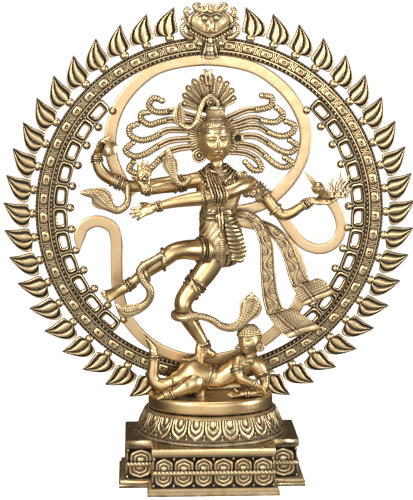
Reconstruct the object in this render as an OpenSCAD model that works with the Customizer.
// Dancing figure in cast brass, standing on a dwarf inside a flaming ring.
// Origin at the centre of the plinth's underside. +Z up, the figure faces -Y.

/* [Plinth] */
// Half width of the plinth's middle block at its top slab
mid_w = 90.5; // [84:0.5:96]
// Half depth of the plinth's middle block at its top slab
mid_d = 107; // [102:0.5:108]
// Half width of the plinth's side blocks at their top slab
wing_w = 130; // [120:1:136]
// Half depth of the plinth's side blocks at their top slab
wing_d = 57; // [52:1:62]
// Height of the plinth
plinth_h = 71; // [68:1:74]
// Thickness of the cast walls of the stand
wall = 6; // [5:0.5:7]

/* [Pedestal] */
// Half width of the lotus pedestal at its rim
lotus_w = 112; // [108:1:116]
// Height of the lotus pedestal
lotus_h = 38; // [36:1:40]
// Half width of the oval plate
plate_w = 95; // [92:1:97]
// Height of the oval plate
plate_h = 22; // [20:1:24]

/* [Ring] */
// Height of the ring's centre above the floor
ring_z = 404; // [402:1:406]
// Distance of the ring's middle plane behind the origin
ring_y = 20; // [18:1:22]
// Outer radius of the ring's rim
rim_r = 262; // [260:1:264]
// Inner radius of the ring's rim
rim_in = 235; // [234:1:236]
// Flames on each side of the ring
flames = 20; // [18:1:20]
// Cells of the openwork on each side of the ring
cells = 11; // [9:1:11]
// Thickness of the flat bands inside the ring
band_t = 4; // [3:0.5:5]
// Half width of the flat bands inside the ring
band_w = 9; // [8:0.5:9.5]

/* [Fastenings] */
// Radius of the studs
stud_r = 4; // [3:0.5:5]
// Radius of the dowels that locate the limbs
dowel_r = 4; // [3:0.5:4.5]

/* [Hidden] */
$fn = 48;

lotus_ratio = 0.875;
plate_ratio = 0.74;
lotus_z = plinth_h;
plate_z = lotus_z + lotus_h;
top_z = plate_z + plate_h;
stud_low = plate_z - wall - 12;
stud_x = 32;
tie = [20, 398];
figure_stud_xy = [-18, -24];
flame_first = 13;
flame_step = 7.72;
cell_first = 43.5;
cell_step = 8.9;
cell_mid = 225;
ball_r = 4.5;
ball_ring = 212;

// Points are [x, y, z, half width in the ring's plane, half depth].
torso_line = [
  [8, -19, 490, 9, 9], [9, -19, 474, 10, 10], [11, -18, 464, 22, 13], [12, -17, 456, 33, 16],
  [12, -18, 440, 34, 18], [12, -18, 422, 29, 18], [10, -17, 404, 24, 16], [11, -16, 394, 24, 16]
];
head_line = [
  [8, -26, 480, 8, 9], [8, -26, 488, 12, 14], [7, -24, 498, 18, 19], [6, -23, 512, 21, 22],
  [6, -22, 526, 22, 22], [6, -22, 538, 19, 20], [6, -22, 547, 15, 16]
];
standing_line = [
  [6, -16, 346, 17, 17], [-2, -17, 330, 18, 17], [-13, -20, 314, 17, 16], [-28, -25, 296, 15, 15],
  [-41, -29, 278, 13.5, 14], [-41, -28, 262, 12.5, 13], [-31, -24, 244, 12, 13],
  [-21, -22, 227, 10, 10], [-13, -20, 213, 8.5, 9], [-10, -19, 196, 9, 10]
];
foot_line = [
  [6, -15, 196, 6, 7], [-4, -17, 197, 8.5, 9], [-16, -21, 197, 8.5, 10], [-30, -26, 193.5, 6.5, 11],
  [-42, -30, 191.5, 5, 10], [-50, -32, 190.5, 3, 7]
];
raised_line = [
  [4, -20, 353, 17, 17], [-8, -24, 353, 17, 17], [-22, -30, 354, 16, 16], [-40, -40, 356, 14, 15],
  [-56, -48, 354, 13, 13], [-68, -51, 346, 12.5, 12.5], [-80, -51, 338, 12, 12],
  [-94, -50, 328, 10.5, 11], [-107, -49, 318, 8.5, 9], [-119, -48, 308, 7.5, 8],
  [-128, -48, 302, 8.5, 9], [-138, -48, 297, 7.5, 9], [-149, -48, 292, 6, 10],
  [-159, -48, 288, 4.5, 9.5], [-167, -48, 285, 3, 6]
];
front_left_line = [
  [57, -17, 452, 11, 11], [50, -28, 450, 11.5, 11.5], [38, -38, 447, 11, 11], [22, -45, 441, 11, 11],
  [4, -48, 437, 11, 11], [-14, -51, 434, 11, 11], [-32, -52, 432, 10, 10], [-56, -53, 428, 8, 8],
  [-76, -53, 423, 6.5, 6.5], [-90, -53, 419, 8, 6], [-103, -53, 413, 8, 4], [-117, -53, 404, 5, 3]
];
front_right_line = [
  [2, -17, 456, 11, 11], [-16, -18, 457, 12, 11], [-34, -22, 455, 11, 10], [-54, -28, 450, 10, 9],
  [-74, -35, 448, 9, 9], [-88, -41, 446, 8, 8], [-98, -46, 447, 7, 7], [-102, -48, 455, 7.5, 5.5],
  [-99, -48, 464, 10, 4.5], [-96, -48, 474, 10, 4], [-94, -48, 483, 8, 3], [-91, -48, 492, 5.5, 2.5]
];
rear_right_line = [
  [8, 4, 452, 8, 8], [-16, 5, 453, 9, 9], [-40, 5, 453, 9.5, 9.5], [-68, 4, 450, 9.5, 9.5],
  [-98, 2, 446, 9, 9], [-124, 0, 447, 8.5, 8.5], [-146, -2, 456, 9, 9], [-161, -5, 467, 9, 9],
  [-168, -8, 482, 7.5, 7.5], [-168, -10, 498, 6, 6], [-164, -12, 508, 6.5, 6], [-157.5, -13, 515, 5, 5]
];
rear_left_line = [
  [16, 4, 452, 8, 8], [36, 5, 453, 9, 9], [56, 3, 450, 10, 10], [70, 0, 441, 10, 10],
  [84, -3, 427, 9.5, 9.5], [96, -4, 411, 9, 9], [108, -4, 402, 8.5, 8.5], [121, -5, 405, 8, 8],
  [133, -6, 413, 7.5, 7.5], [145, -8, 422, 6.5, 6.5], [158, -10, 427, 7.5, 7], [174, -12, 425, 7.5, 7],
  [192, -12, 423, 5, 5]
];
// Points of the sash are [x, z, half width]
sash_inner_line = [
  [32, 404, 6], [46, 404, 6.5], [60, 400, 7], [70, 390, 8], [77, 376, 9], [84, 355, 10], [86, 318, 11],
  [90, 280, 12], [98, 252, 15], [112, 236, 20]
];
sash_inner_hem = [[94, 246], [110, 225], [124, 214], [169, 227], [150, 247], [120, 256]];
sash_outer_line = [
  [72, 388, 7], [88, 380, 8], [100, 371, 9], [113, 354, 10], [122, 332, 10], [130, 308, 12],
  [140, 291, 16]
];
sash_outer_hem = [[130, 290], [143, 264], [188, 279], [172, 302], [152, 306]];
arm_cobra_line = [
  [-123, -12.5, 447, 4, 4], [-123, -14, 438, 4.5, 4.5], [-123, -18, 428, 4.5, 4.5],
  [-127, -22, 419, 5, 5], [-138, -24, 413, 5.5, 5],
  [-149, -26, 418, 7, 4.5], [-158, -27, 427, 14, 4], [-167, -28, 435, 14, 4], [-174, -29, 439, 8, 5],
  [-184, -31, 440, 6, 4.5], [-191, -32, 440, 2.5, 2.5]
];
shoulder_cobra_line = [
  [-32, -36, 462, 3.5, 3.5], [-39, -37.5, 454, 4, 4], [-49, -41, 455, 4.5, 4.5], [-55, -42, 465, 5, 4.5],
  [-58, -42, 475, 9, 4], [-61, -42, 485, 11, 4], [-63, -43, 494, 7, 4.5], [-64, -44, 501, 4.5, 4.5],
  [-65, -45, 506, 2, 2]
];
shin_serpent_line = [
  [-76, -67.5, 352, 4, 4], [-88, -67.5, 345, 4.5, 4.5], [-100, -67.5, 338, 5, 5], [-107, -67, 328, 5, 5],
  [-101, -67, 314, 5, 5], [-92, -67, 302, 5.5, 5.5], [-92, -65, 289, 5.5, 5.5],
  [-100, -63, 278, 6, 5], [-114, -61, 271, 8, 4.5], [-127, -60, 269, 9, 4.5],
  [-136, -60, 274, 6, 4.5], [-139, -60, 281, 3, 3]
];
foot_serpent_line = [
  [-55, -42, 252, 3, 3], [-44, -46.5, 257, 4.5, 4.5], [-30, -46.5, 257, 5, 5], [-13, -46, 256, 5, 5],
  [1, -43, 250, 5, 5], [14, -41, 241, 5.5, 5.5], [28, -40, 238, 6, 6], [41, -39, 243, 6.5, 6],
  [50, -38, 254, 10, 4.5], [57, -37, 266, 16.5, 4], [59, -37, 276, 15, 4], [59, -38, 285, 9, 4.5],
  [59, -41, 290, 4, 4]
];
crown_serpent_line = [
  [-46, -26, 566, 3, 3], [-47, -27, 556, 8, 3.5], [-46, -28, 546, 7, 4], [-41, -30, 538, 4, 4],
  [-32, -33, 535, 3.5, 3.5], [-23, -34, 543, 3.5, 3.5], [-18, -31, 558, 3.5, 3.5],
  [-12, -28, 573, 3.5, 3.5], [-2, -27.5, 581, 3.5, 3.5], [7, -27.5, 575, 3, 3]
];
dwarf_body_line = [
  [-50, -24, 155, 14, 14], [-27, -24, 160, 31, 20], [-8, -24, 162, 20, 19], [10, -24, 158, 15, 16],
  [28, -27, 167, 17, 16], [46, -29, 180, 18, 15], [57, -29, 190, 10, 10], [60, -29, 202, 8, 8]
];
dwarf_head_line = [
  [61, -31, 190, 8, 9], [61, -32, 200, 15, 16], [61, -31, 209, 18, 19], [60, -30, 220, 20, 20],
  [59, -29, 232, 17, 17], [59, -29, 240, 8, 8]
];
dwarf_near_arm = [
  [32, -42, 188, 8, 8], [36, -44, 176, 8, 8], [42, -47, 164, 7.5, 7.5], [56, -48, 156, 6, 6],
  [68, -48, 151, 5.5, 5.5], [80, -47, 148, 6, 4], [88, -45, 146, 3, 3]
];
dwarf_far_arm = [
  [73, -30, 186, 7.5, 7.5], [76, -31, 170, 8, 8], [80, -32, 154, 7.5, 7.5], [77, -35, 142, 7, 7],
  [64, -38, 138, 6.5, 6.5], [50, -41, 138, 6, 6], [38, -43, 138, 6, 6.5], [27, -44, 136, 4, 5]
];
dwarf_near_leg = [
  [-10, -44, 162, 12, 11], [-24, -45, 155, 14, 12], [-38, -46, 150, 11, 10], [-50, -46, 144, 8.5, 8.5],
  [-64, -45, 139, 6.5, 6.5], [-74, -44, 138, 7, 7], [-86, -43, 136.5, 4, 5]
];
dwarf_far_leg = [
  [-38, -23, 155, 13, 12], [-54, -24, 152, 12, 11], [-70, -24, 148, 11, 10], [-82, -24, 150, 10, 9.5],
  [-88, -24, 161, 9, 9], [-87, -24, 176, 8, 8], [-86, -24, 191, 7, 7], [-88, -24, 204, 8, 7],
  [-93, -24, 220, 7, 5], [-99, -24, 234, 5, 3]
];
hips_line = [
  [10, -17, 412, 27, 19], [10, -17, 398, 27.5, 19.5], [14, -16, 376, 31, 22], [16, -16, 356, 32, 23],
  [15, -16, 342, 30, 22], [14, -16, 328, 28, 20]
];
upper_band = [
  [-115, 430], [-131, 450], [-146, 484], [-148, 524], [-134, 566], [-105, 601], [-68, 623], [-4, 632],
  [60, 622], [100, 598], [128, 566], [143, 528], [139, 486], [118, 448], [85, 418], [48, 406], [8, 407]
];
lower_band = [
  [8, 390], [48, 389], [93, 376], [124, 346], [139, 310], [139, 272], [120, 240], [88, 209],
  [48, 186], [-4, 176], [-50, 182], [-92, 203], [-125, 240], [-139, 282], [-141, 331], [-141, 361],
  [-148, 382], [-170, 391], [-190, 382], [-197, 364], [-197, 346]
];
tail_band = [
  [94, 416], [106, 400], [122, 376], [142, 354], [168, 346], [190, 356], [199, 380], [190, 409],
  [168, 434], [143, 464]
];
hair_left = [
  [[-6, 545], [-31, 551], [-53, 558], [-70, 556], [-84, 558], [-91, 567], [-84, 577], [-74, 574]],
  [[-10, 535.5], [-28, 539], [-43, 541], [-58, 545], [-75, 542], [-90, 538], [-102, 545], [-102, 554],
   [-94, 556]],
  [[-10, 526], [-27, 529], [-46, 530], [-66, 529], [-84, 519], [-103, 515], [-118, 522], [-120, 533],
   [-111, 538]],
  [[-10, 516.5], [-28, 517], [-44, 516], [-60, 514], [-78, 506], [-96, 495], [-113, 491], [-126, 500],
   [-117, 510]],
  [[-10, 507], [-30, 505], [-50, 502], [-66, 495], [-80, 482], [-93, 470], [-108, 465], [-121, 472],
   [-116, 481]]
];
hair_right = [
  [[20, 545], [36, 552], [54, 559], [72, 560], [88, 565], [90, 577], [78, 580]],
  [[24, 535.5], [40, 541], [62, 547], [82, 542], [98, 542], [107, 552], [99, 561]],
  [[24, 526], [40, 531], [56, 535], [72, 534], [88, 525], [106, 520], [121, 526], [124, 536], [114, 541]],
  [[24, 516.5], [40, 519], [54, 521], [70, 519], [87, 509], [103, 499], [118, 496], [128, 505],
   [119, 513]],
  [[24, 507], [38, 508], [52, 507], [67, 502], [81, 491], [95, 479], [109, 474], [121, 480], [112, 487]],
  [[24, 497.5], [40, 497], [55, 494], [69, 485], [75, 472], [64, 470], [53, 480]]
];
hair_y = -7.3;
hair_r = 4.3;
// Planes where the castings meet
chin_cut = 486;
waist_cut = 402;
hip_cut = 338;
thigh_cut = -12;
shoulder_cut = -12;
shoulder_far = 42;
back_cut = -3;
ankle_cut = 203;
sole_z = 188;
neck_cut = 197;
dwarf_front = -36;
dwarf_hip = -43;
cup_z = 541;

// Curve through four points, at t from 0 to 1 between the middle two
function bend(a, b, c, d, t) =
  0.5 * (2 * b + (c - a) * t + (2 * a - 5 * b + 4 * c - d) * t * t + (3 * b - a - 3 * c + d) * t * t * t);
// Points of a smooth curve through a list, with n steps from each point to the next
function smooth(p, n) = let (e = len(p) - 1) concat(
  [for (i = [0:e - 1], k = [0:n - 1])
    bend(p[max(i - 1, 0)], p[i], p[i + 1], p[min(i + 2, e)], k / n)],
  [p[e]]);
function unit(v) = v / norm(v);
function first3(v) = [v[0], v[1], v[2]];
// Direction of a list of points at point i
function along(p, i) = unit(first3(p[min(i + 1, len(p) - 1)]) - first3(p[max(i - 1, 0)]));
// One ring of a swept tube: an oval across the path
function oval(p, i, sides) = let (t = along(p, i), a = unit(cross(t, [0, 1, 0])), b = cross(a, t))
  [for (k = [0:sides - 1]) let (w = 360 * k / sides)
    first3(p[i]) + a * p[i][3] * cos(w) + b * p[i][4] * sin(w)];
// Points of an oval outline; power 2 is an ellipse, more is squarer
function oval2d(w, h, power = 2, n = 72) = [for (k = [0:n - 1]) let (c = cos(360 * k / n), s = sin(360 * k / n))
  [w * sign(c) * pow(abs(c), 2 / power), h * sign(s) * pow(abs(s), 2 / power)]];
// Outline of a cross: middle block a by b, side blocks c by d, all half sizes
function cross2d(a, b, c, d) = [
  [a, b], [-a, b], [-a, d], [-c, d], [-c, -d], [-a, -d], [-a, -b], [a, -b], [a, -d], [c, -d], [c, d], [a, d]];
// Outline of a flat band about a line; a point's third number, or w, is its half width, and the
// band narrows to a point over its last steps
function ribbon2d(line, w = 0, point = 0) = let (p = smooth(line, 3), e = len(p) - 1) concat(
  [for (i = [0:e]) edge(p, i, width(p[i], w) * taper(i, e, point))],
  [for (i = [e:-1:0]) edge(p, i, -width(p[i], w) * taper(i, e, point))]);
function width(point, w) = len(point) > 2 ? point[2] : w;
function taper(i, e, point) = point == 0 ? 1 : max(min((e - i) / point, 1), 0.04);
function flat(v) = [v[0], v[1]];
function edge(p, i, w) = let (t = unit(flat(p[min(i + 1, len(p) - 1)]) - flat(p[max(i - 1, 0)])))
  flat(p[i]) + w * [-t[1], t[0]];

// Tube swept along a smooth line of [x, y, z, half width, half depth]
module tube(line, sides = 10, steps = 2) {
  p = smooth(line, steps);
  n = len(p);
  points = [for (i = [0:n - 1]) each oval(p, i, sides)];
  walls = [for (i = [0:n - 2], k = [0:sides - 1]) let (m = (k + 1) % sides)
    each [[i * sides + k, (i + 1) * sides + k, (i + 1) * sides + m],
          [i * sides + k, (i + 1) * sides + m, i * sides + m]]];
  start = [[for (k = [0:sides - 1]) k]];
  end = [[for (k = [sides - 1:-1:0]) (n - 1) * sides + k]];
  polyhedron(points, concat(start, walls, end), convexity = 6);
}

// Flat outline drawn in X and Z, given a thickness from y0 to y1
module upright(y0, y1) {
  rotate([90, 0, 0]) translate([0, 0, -y1]) linear_extrude(y1 - y0) children();
}

// Upright shape drawn about the ring's centre
module at_ring(y0, y1) {
  translate([0, 0, ring_z]) upright(y0, y1) children();
}

module cross_layer(z, h, grow) {
  translate([0, 0, z]) linear_extrude(h)
    polygon(cross2d(mid_w + grow, min(mid_d + grow, 110), wing_w + grow * 1.4, wing_d + grow));
}

module pedestal_bolt_places() {
  for (x = [-68, 68], y = [-40, 40]) translate([x, y, 0]) children();
}

module stud_places() {
  for (x = [-stud_x, stud_x]) translate([x, ring_y, 0]) children();
}

module figure_axis() {
  translate([figure_stud_xy[0], figure_stud_xy[1], 0]) children();
}

// Everything on the far side of a plane, to cut a casting flat where it meets its neighbour
module beyond(axis, at, way) {
  corner = [for (k = [0:2]) k == axis ? (way > 0 ? at : at - 900) : -450];
  translate([corner[0], corner[1], axis == 2 ? corner[2] : 0]) cube(900);
}

module washer(r_out, r_in, z, h) {
  translate([0, 0, z]) difference() {
    cylinder(r = r_out, h = h);
    translate([0, 0, -1]) cylinder(r = r_in, h = h + 2);
  }
}

module plinth() {
  color("darkgoldenrod") difference() {
    union() {
      cross_layer(0, 6, 7);
      cross_layer(6, 6, 5);
      cross_layer(12, 17, -1);
      cross_layer(29, 10, -5);
      cross_layer(39, plinth_h - 50, -2);
      cross_layer(plinth_h - 11, 11, 0);
    }
    translate([0, 0, -1]) linear_extrude(plinth_h - wall + 1)
      polygon(cross2d(mid_w - 12, mid_d - 14, wing_w - 16, wing_d - 13));
    translate([0, 0, plinth_h - wall - 1]) cylinder(r = 48, h = wall + 2);
    pedestal_bolt_places() translate([0, 0, plinth_h - wall - 1]) cylinder(r = stud_r, h = wall + 2);
  }
}

module lotus_layer(z, h, grow) {
  translate([0, 0, lotus_z + z]) linear_extrude(h)
    polygon(oval2d(lotus_w + grow, (lotus_w + grow) * lotus_ratio));
}

module lotus_pedestal() {
  color("goldenrod") difference() {
    union() {
      difference() {
        union() {
          lotus_layer(0, 7, 0);
          lotus_layer(7, 14, -4);
          lotus_layer(21, 9, -8);
          lotus_layer(30, lotus_h - 30, -14);
        }
        lotus_layer(-1, lotus_h - wall + 1, -24);
      }
      pedestal_bolt_places() translate([0, 0, lotus_z]) cylinder(r = 9, h = lotus_h - wall);
    }
    pedestal_bolt_places() translate([0, 0, lotus_z - 1]) cylinder(r = stud_r, h = 21);
    stud_places() translate([0, 0, plate_z - wall - 1]) cylinder(r = stud_r, h = wall + 2);
    figure_axis() translate([0, 0, plate_z - wall - 1]) cylinder(r = stud_r, h = wall + 2);
  }
}

module pedestal_bolts() {
  color("dimgray") pedestal_bolt_places() union() {
    translate([0, 0, plinth_h - wall - 5]) cylinder(r = 7, h = 5, $fn = 6);
    translate([0, 0, plinth_h - wall - 1]) cylinder(r = stud_r, h = wall + 19);
  }
}

module plate_layer(z, h, grow) {
  translate([0, 0, plate_z + z]) linear_extrude(h)
    polygon(oval2d(plate_w + grow, (plate_w + grow) * plate_ratio));
}

module oval_plate() {
  color("gold") difference() {
    union() {
      difference() {
        union() {
          plate_layer(0, 4, -3);
          plate_layer(4, plate_h - 7, 0);
          plate_layer(plate_h - 3, 3, -2.5);
        }
        plate_layer(-1, plate_h - wall + 1, -10);
      }
      for (p = [[-stud_x, ring_y], [stud_x, ring_y], figure_stud_xy])
        translate([p[0], p[1], plate_z]) cylinder(r = 10, h = plate_h - wall + 1);
    }
    stud_places() translate([0, 0, plate_z - 1]) cylinder(r = stud_r, h = plate_h + 2);
    figure_axis() translate([0, 0, plate_z - 1]) cylinder(r = stud_r, h = plate_h + 2);
    dwarf_pin_places() translate([0, 0, top_z - 5]) cylinder(r = 2.5, h = 6);
  }
}

module aureole_foot() {
  color("goldenrod") difference() {
    translate([0, 0, 0]) upright(ring_y - 7, ring_y + 7)
      polygon([[-50, top_z], [50, top_z], [44, top_z + 8], [46, 152], [-46, 152], [-44, top_z + 8]]);
    translate([0, ring_y + 8, ring_z]) rotate([90, 0, 0]) cylinder(r = rim_r, h = 16, $fn = 180);
    stud_places() translate([0, 0, top_z - 1]) cylinder(r = stud_r, h = 30);
  }
}

module aureole_studs() {
  color("silver") stud_places() translate([0, 0, stud_low]) cylinder(r = stud_r, h = 160 - stud_low);
}

module aureole_washers() {
  color("silver") stud_places() washer(9, stud_r, plate_z - wall - 2, 2);
}

module aureole_nuts() {
  color("dimgray") stud_places() difference() {
    translate([0, 0, stud_low + 2]) cylinder(r = 7.5, h = 8, $fn = 6);
    translate([0, 0, stud_low + 1]) cylinder(r = stud_r, h = 10);
  }
}

module figure_stud() {
  color("silver") figure_axis() translate([0, 0, stud_low]) cylinder(r = stud_r, h = 205 - stud_low);
}

module figure_washer() {
  color("silver") figure_axis() washer(9, stud_r, plate_z - wall - 2, 2);
}

module figure_nut() {
  color("dimgray") figure_axis() difference() {
    translate([0, 0, stud_low + 2]) cylinder(r = 7.5, h = 8, $fn = 6);
    translate([0, 0, stud_low + 1]) cylinder(r = stud_r, h = 10);
  }
}

module dwarf_pin_places() {
  translate([-60, -45, 0]) children();
  translate([52, -41, 0]) children();
}

module dwarf_pins() {
  color("silver") dwarf_pin_places() translate([0, 0, top_z - 5]) cylinder(r = 2.5, h = 10);
}

module dwarf_body() {
  color("peru") difference() {
    tube(dwarf_body_line, 12);
    beyond(2, top_z, -1);
    beyond(1, dwarf_front, -1);
    beyond(0, dwarf_hip, -1);
    translate([40, -60, neck_cut]) cube([50, 60, 40]);
    translate([-60, -60, sole_z]) cube([70, 60, 20]);
    figure_axis() translate([0, 0, top_z - 1]) cylinder(r = stud_r, h = 70);
  }
}

module dwarf_arms() {
  color("peru") difference() {
    union() {
      difference() {
        tube(dwarf_near_arm, 8);
        beyond(1, dwarf_front, 1);
      }
      difference() {
        tube(dwarf_far_arm, 8);
        beyond(2, top_z, -1);
      }
    }
    dwarf_pin_places() translate([0, 0, top_z - 1]) cylinder(r = 2.5, h = 6);
  }
}

module dwarf_legs() {
  color("peru") difference() {
    union() {
      difference() {
        tube(dwarf_near_leg, 8);
        beyond(1, dwarf_front, 1);
        beyond(2, top_z, -1);
      }
      difference() {
        tube(dwarf_far_leg, 8);
        beyond(0, dwarf_hip, 1);
      }
    }
    dwarf_pin_places() translate([0, 0, top_z - 1]) cylinder(r = 2.5, h = 6);
  }
}

module dwarf_head() {
  color("peru") difference() {
    tube(dwarf_head_line, 12);
    beyond(2, neck_cut, -1);
  }
}

module standing_leg() {
  color("burlywood") difference() {
    tube(standing_line, 12);
    beyond(2, hip_cut, 1);
    beyond(2, ankle_cut, -1);
    figure_axis() translate([0, 0, 150]) cylinder(r = stud_r, h = 55);
    hip_dowel(1);
    ankle_dowel();
  }
}

module standing_foot() {
  color("burlywood") difference() {
    tube(foot_line, 10);
    beyond(2, ankle_cut, 1);
    beyond(2, sole_z, -1);
    figure_axis() translate([0, 0, 150]) cylinder(r = stud_r, h = 55);
    ankle_dowel();
  }
}

// Dowel from the heel up into the shin
module ankle_dowel() {
  translate([-6, -18, ankle_cut - 6]) cylinder(r = 3, h = 16);
}

module raised_leg() {
  color("burlywood") difference() {
    tube(raised_line, 12);
    beyond(0, thigh_cut, 1);
    hip_dowel(0);
  }
}

// Dowels from the hips into the legs: 0 is the raised leg's, 1 the standing leg's
module hip_dowel(which) {
  if (which == 0)
    translate([6, -24, 354]) rotate([0, -90, 0]) cylinder(r = dowel_r, h = 36);
  else
    translate([3, -17, hip_cut - 16]) cylinder(r = dowel_r, h = 24);
}

module hip_dowels() {
  color("silver") {
    hip_dowel(0);
    hip_dowel(1);
    ankle_dowel();
  }
}

// Dowels from the shoulders into the four arms
module shoulder_dowel(which) {
  if (which == 0)
    translate([10, -17, 457]) rotate([0, -90, 0]) cylinder(r = dowel_r, h = 40);
  else if (which == 1)
    translate([26, -17, 453]) rotate([0, 90, 0]) cylinder(r = dowel_r, h = 30);
  else
    translate([which == 2 ? -4 : 26, -11, 453]) rotate([-90, 0, 0]) cylinder(r = 3, h = 18);
}

module shoulder_dowels() {
  color("silver") for (k = [0:3]) shoulder_dowel(k);
}

module torso() {
  color("burlywood") difference() {
    tube(torso_line, 14);
    beyond(2, chin_cut, 1);
    beyond(2, waist_cut, -1);
    beyond(1, back_cut, 1);
    translate([shoulder_cut - 60, -60, 438]) cube([60, 90, 40]);
    translate([shoulder_far, -60, 438]) cube([60, 90, 40]);
    for (k = [0:3]) shoulder_dowel(k);
    neck_pin();
    waist_pin();
  }
}

module hips() {
  color("peru") difference() {
    tube(hips_line, 14);
    beyond(2, waist_cut, 1);
    beyond(2, hip_cut, -1);
    translate([thigh_cut - 60, -80, 300]) cube([60, 120, 75]);
    for (k = [0:1]) hip_dowel(k);
    tie_way();
    waist_pin();
  }
}

module skirt_flap() {
  color("peru") upright(-44, -38)
    polygon([[24, 392], [40, 386], [48, 352], [45, 330], [34, 326], [26, 350]]);
}

module waist_pin() {
  translate([8, -18, waist_cut - 14]) cylinder(r = dowel_r, h = 28);
}

module neck_pin() {
  translate([8, -20, chin_cut - 14]) cylinder(r = dowel_r, h = 28);
}

// Way of the horizontal pin that ties the waist to the bands of the ring
module tie_way() {
  translate([tie[0], -12, tie[1]]) rotate([-90, 0, 0]) cylinder(r = dowel_r, h = 40);
}

module sash_inner_tail() {
  color("goldenrod") {
    upright(-6, 0) polygon(ribbon2d(sash_inner_line));
    upright(-6, 0) polygon(sash_inner_hem);
  }
}

module sash_outer_tail() {
  color("goldenrod") {
    upright(0, 5) polygon(ribbon2d(sash_outer_line));
    upright(0, 5) polygon(sash_outer_hem);
  }
}

module front_right_arm() {
  color("burlywood") difference() {
    tube(front_right_line, 10);
    beyond(0, shoulder_cut, 1);
    shoulder_dowel(0);
  }
}

module front_left_arm() {
  color("burlywood") difference() {
    tube(front_left_line, 10);
    translate([shoulder_far - 30, -28, 430]) cube([30, 40, 40]);
    shoulder_dowel(1);
  }
}

module rear_right_arm() {
  color("burlywood") difference() {
    tube(rear_right_line, 10);
    translate([-22, back_cut - 30, 430]) cube([60, 30, 40]);
    shoulder_dowel(2);
  }
}

module rear_left_arm() {
  color("burlywood") difference() {
    tube(rear_left_line, 10);
    translate([-10, back_cut - 30, 430]) cube([60, 30, 40]);
    shoulder_dowel(3);
  }
}

module drum_shape() {
  translate([-150, -15, 501]) rotate([0, 0, -20]) rotate([78, 0, 0]) translate([0, 0, -12])
    rotate_extrude() polygon([[0, 0], [10.5, 0], [10.5, 2], [5, 12], [10.5, 22], [10.5, 24], [0, 24]]);
}

module hand_drum() {
  color("goldenrod") drum_shape();
}

module bowl_shape() {
  translate([160, -11, 435]) rotate_extrude() polygon([[0, 0], [6, 0], [10, 6], [9, 12], [5, 16], [0, 17]]);
}

module fire_bowl() {
  color("gold") bowl_shape();
}

module hand_flame() {
  color("goldenrod") upright(-17, -7) polygon([
    [173, 433], [175, 450], [180, 443], [182, 458], [188, 450], [193, 468], [197, 456], [205, 462],
    [202, 446], [208, 444], [200, 433], [188, 430]]);
}

module shoulder_cobra() {
  color("peru") tube(shoulder_cobra_line, 8);
}

module arm_cobra() {
  color("peru") tube(arm_cobra_line, 8);
}

module shin_serpent() {
  color("peru") tube(shin_serpent_line, 8);
}

module foot_serpent() {
  color("peru") tube(foot_serpent_line, 8);
}

module head() {
  color("burlywood") difference() {
    tube(head_line, 14);
    beyond(2, chin_cut, -1);
    beyond(2, cup_z, 1);
    beyond(1, back_cut, 1);
    neck_pin();
  }
}

// Plate behind the head that the ropes of hair are brazed to
module hair_plate() {
  color("sienna") upright(back_cut, back_cut + 4)
    polygon([for (v = oval2d(29, 30, 4, 40)) [v[0] + 7, v[1] + 522]]);
}

module neck_dowels() {
  color("silver") {
    neck_pin();
    waist_pin();
  }
}

module cup_shape() {
  translate([6, -20, cup_z]) rotate_extrude()
    polygon([[0, 0], [16, 0], [14, 8], [13, 16], [15, 24], [15, 27], [0, 27]]);
}

module crown_cup() {
  color("goldenrod") cup_shape();
}

module crown_fan() {
  color("goldenrod") upright(-24, -16) difference() {
    for (k = [0:9])
      translate([-1, 562]) rotate(70 - 14.2 * k) translate([0, 19])
        polygon([for (v = oval2d(6.5, 19, 2, 20)) [v[0] * (1 + v[1] / 45), v[1] + feather_reach(k)]]);
    translate([-60, cup_z - 60]) square([120, 87]);
  }
}

// How far each feather of the crown reaches out past the shortest one
function feather_reach(k) = 18 * sin(180 * (k + 0.8) / 10.5);

module crown_serpent() {
  color("peru") tube(crown_serpent_line, 8);
}

module ear_rings() {
  color("gold") {
    translate([-17.5, -24, 492]) rotate([90, 0, 0]) rotate_extrude() translate([7, 0]) circle(r = 2.5);
    translate([39, -22, 519]) rotate([90, 0, 0]) cylinder(r = 11, h = 6);
  }
}

// One rope of hair
module lock(line) {
  tube([for (p = line) [p[0], hair_y, p[1], hair_r, hair_r]], 8);
}

module hair_fan_left() {
  color("sienna") for (line = hair_left) lock(line);
}

module hair_fan_right() {
  color("sienna") for (line = hair_right) lock(line);
}

module inside_rim() {
  circle(r = rim_in, $fn = 180);
}

module band_slab() {
  at_ring(ring_y - band_t / 2, ring_y + band_t / 2) intersection() {
    inside_rim();
    translate([0, -ring_z]) children();
  }
}

module om_band_upper() {
  color("khaki") difference() {
    band_slab() difference() {
      polygon(ribbon2d(upper_band, band_w));
      translate([-60, 300]) square([200, tie[1] - 300]);
    }
    tie_way();
  }
}

module om_band_lower() {
  color("khaki") difference() {
    band_slab() difference() {
      polygon(ribbon2d(lower_band, band_w, 4));
      translate([-10, tie[1]]) square([90, 30]);
    }
    tie_way();
  }
}

module om_band_tail() {
  color("khaki") band_slab() difference() {
    polygon(ribbon2d(tail_band, band_w - 1, 6));
    polygon(ribbon2d(upper_band, band_w));
    polygon(ribbon2d(lower_band, band_w));
  }
}

module back_tie_pin() {
  color("silver") translate([tie[0], -12, tie[1]]) rotate([-90, 0, 0]) union() {
    cylinder(r = dowel_r, h = ring_y + 22);
    translate([0, 0, 20]) cylinder(r = 8, h = ring_y - band_t / 2 - 8);
  }
}

module tie_nut() {
  color("gold") translate([tie[0], ring_y + band_t / 2, tie[1]]) rotate([-90, 0, 0]) difference() {
    cylinder(r = 8, h = 6, $fn = 6);
    translate([0, 0, -1]) cylinder(r = dowel_r, h = 8);
  }
}

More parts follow.
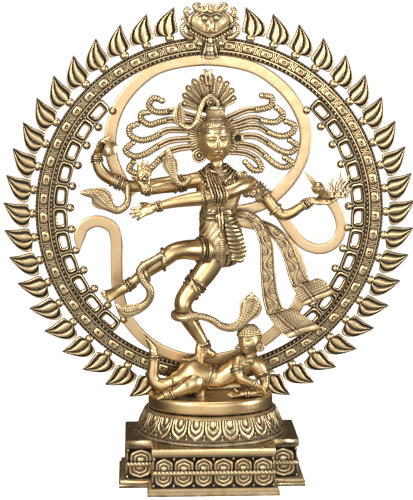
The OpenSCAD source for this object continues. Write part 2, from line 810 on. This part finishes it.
module aureole_rim() {
  color("goldenrod") difference() {
    translate([0, ring_y, ring_z]) rotate([90, 0, 0]) rotate_extrude($fn = 180) polygon([
      [rim_in, -3], [rim_in + 1, -5], [rim_in + 6, -5], [rim_in + 7, -3], [rim_in + 10, -3],
      [rim_in + 11, -5], [rim_in + 20, -5], [rim_in + 21, -3], [rim_r - 5, -3], [rim_r - 4, -5],
      [rim_r, -5], [rim_r, 5], [rim_r - 4, 5], [rim_r - 5, 3], [rim_in + 21, 3], [rim_in + 20, 5],
      [rim_in + 11, 5], [rim_in + 10, 3], [rim_in + 7, 3], [rim_in + 6, 5], [rim_in + 1, 5], [rim_in, 3]]);
    stud_places() translate([0, 0, 130]) cylinder(r = stud_r, h = 30);
    mask_rivet_holes();
  }
}

// Children placed at each flame, on both sides of the ring, drawn as if the flame stood at the top
module flame_places() {
  for (side = [0, 1], k = [0:flames - 1])
    mirror([side, 0]) rotate(-(flame_first + flame_step * k)) children();
}

module flame_border() {
  color("goldenrod") at_ring(ring_y - 5, ring_y + 5) flame_places() polygon([
    [3, 272], [10, 276], [15, 283], [15.5, 291], [10, 297], [-2, 301], [-17, 309.5],
    [-12, 300], [-16, 292], [-15, 283], [-10, 276], [-3, 272]]);
}

module flame_stems() {
  color("gold") at_ring(ring_y - 4, ring_y + 4) difference() {
    flame_places() polygon([for (v = oval2d(3.5, 6.5, 2, 16)) [v[0], v[1] + 267.5]]);
    circle(r = rim_r, $fn = 180);
    flame_places() polygon([[-20, 272], [20, 272], [20, 280], [-20, 280]]);
  }
}

module lattice_half() {
  at_ring(ring_y - 4, ring_y + 4) difference() {
    intersection() {
      inside_rim();
      for (k = [0:cells - 1]) rotate(-(cell_first + cell_step * k + cell_step / 2)) translate([0, cell_mid])
        polygon(oval2d(cell_mid * PI * cell_step / 360 + 0.4, 10.6, 4, 24));
    }
    for (k = [0:cells - 1]) rotate(-(cell_first + cell_step * k + cell_step / 2)) translate([0, cell_mid])
      polygon(oval2d(11.5, 5.5, 3, 20));
  }
}

module lattice_right() {
  color("goldenrod") lattice_half();
}

module lattice_left() {
  color("goldenrod") mirror([1, 0, 0]) lattice_half();
}

module lattice_balls() {
  color("gold") for (side = [0, 1], k = [0:cells]) mirror([side, 0, 0])
    translate([0, ring_y, ring_z]) rotate([0, cell_first + cell_step * k, 0]) translate([0, 0, ball_ring])
      difference() {
        sphere(r = ball_r, $fn = 24);
        translate([-20, -5, 3.2]) cube([40, 10, 10]);
      }
}

module mask_rivet_holes() {
  for (x = [-16, 16]) translate([x, ring_y - 12, ring_z + 252]) rotate([-90, 0, 0])
    cylinder(r = 2, h = 24);
}

module mask_shape() {
  upright(ring_y - 10, ring_y - 5) polygon([
    [-38, 652], [-24, 648], [-14, 640], [14, 640], [24, 648], [38, 652], [52, 662], [50, 680],
    [38, 678], [34, 692], [28, 706], [16, 702], [12, 714], [0, 718], [-12, 714], [-16, 702], [-28, 706],
    [-34, 692], [-38, 678], [-50, 680], [-52, 662]]);
  for (x = [-14, 14]) translate([x, ring_y - 8, 690]) sphere(r = 9);
  for (x = [-22, 22]) translate([x, ring_y - 8, 671]) sphere(r = 11);
  translate([0, ring_y - 9, 676]) sphere(r = 9);
}

module lion_mask() {
  color("darkgoldenrod") difference() {
    mask_shape();
    translate([-60, ring_y - 5, 600]) cube([120, 20, 130]);
    mask_rivet_holes();
  }
}

module mask_tongue() {
  color("gold") upright(ring_y - 9, ring_y - 5)
    polygon([[-12, 640], [12, 640], [13, 632], [6, 622], [0, 617], [-6, 622], [-13, 632]]);
}

module mask_rivets() {
  color("silver") for (x = [-16, 16]) translate([x, ring_y - 11, ring_z + 252]) rotate([-90, 0, 0]) union() {
    translate([0, 0, 1]) cylinder(r = 2, h = 20);
    translate([0, 0, 16]) cylinder(r = 4, h = 2);
  }
}

plinth();
lotus_pedestal();
pedestal_bolts();
oval_plate();
aureole_foot();
aureole_studs();
aureole_washers();
aureole_nuts();
figure_stud();
figure_washer();
figure_nut();
dwarf_body();
dwarf_arms();
dwarf_legs();
dwarf_head();
dwarf_pins();
standing_leg();
standing_foot();
raised_leg();
torso();
hips();
skirt_flap();
hip_dowels();
sash_inner_tail();
sash_outer_tail();
front_right_arm();
front_left_arm();
rear_right_arm();
rear_left_arm();
shoulder_dowels();
hand_drum();
fire_bowl();
hand_flame();
shoulder_cobra();
arm_cobra();
shin_serpent();
foot_serpent();
head();
neck_dowels();
crown_cup();
crown_fan();
crown_serpent();
ear_rings();
hair_plate();
hair_fan_left();
hair_fan_right();
om_band_upper();
om_band_lower();
om_band_tail();
back_tie_pin();
tie_nut();
aureole_rim();
flame_border();
flame_stems();
lattice_left();
lattice_right();
lattice_balls();
lion_mask();
mask_tongue();
mask_rivets();
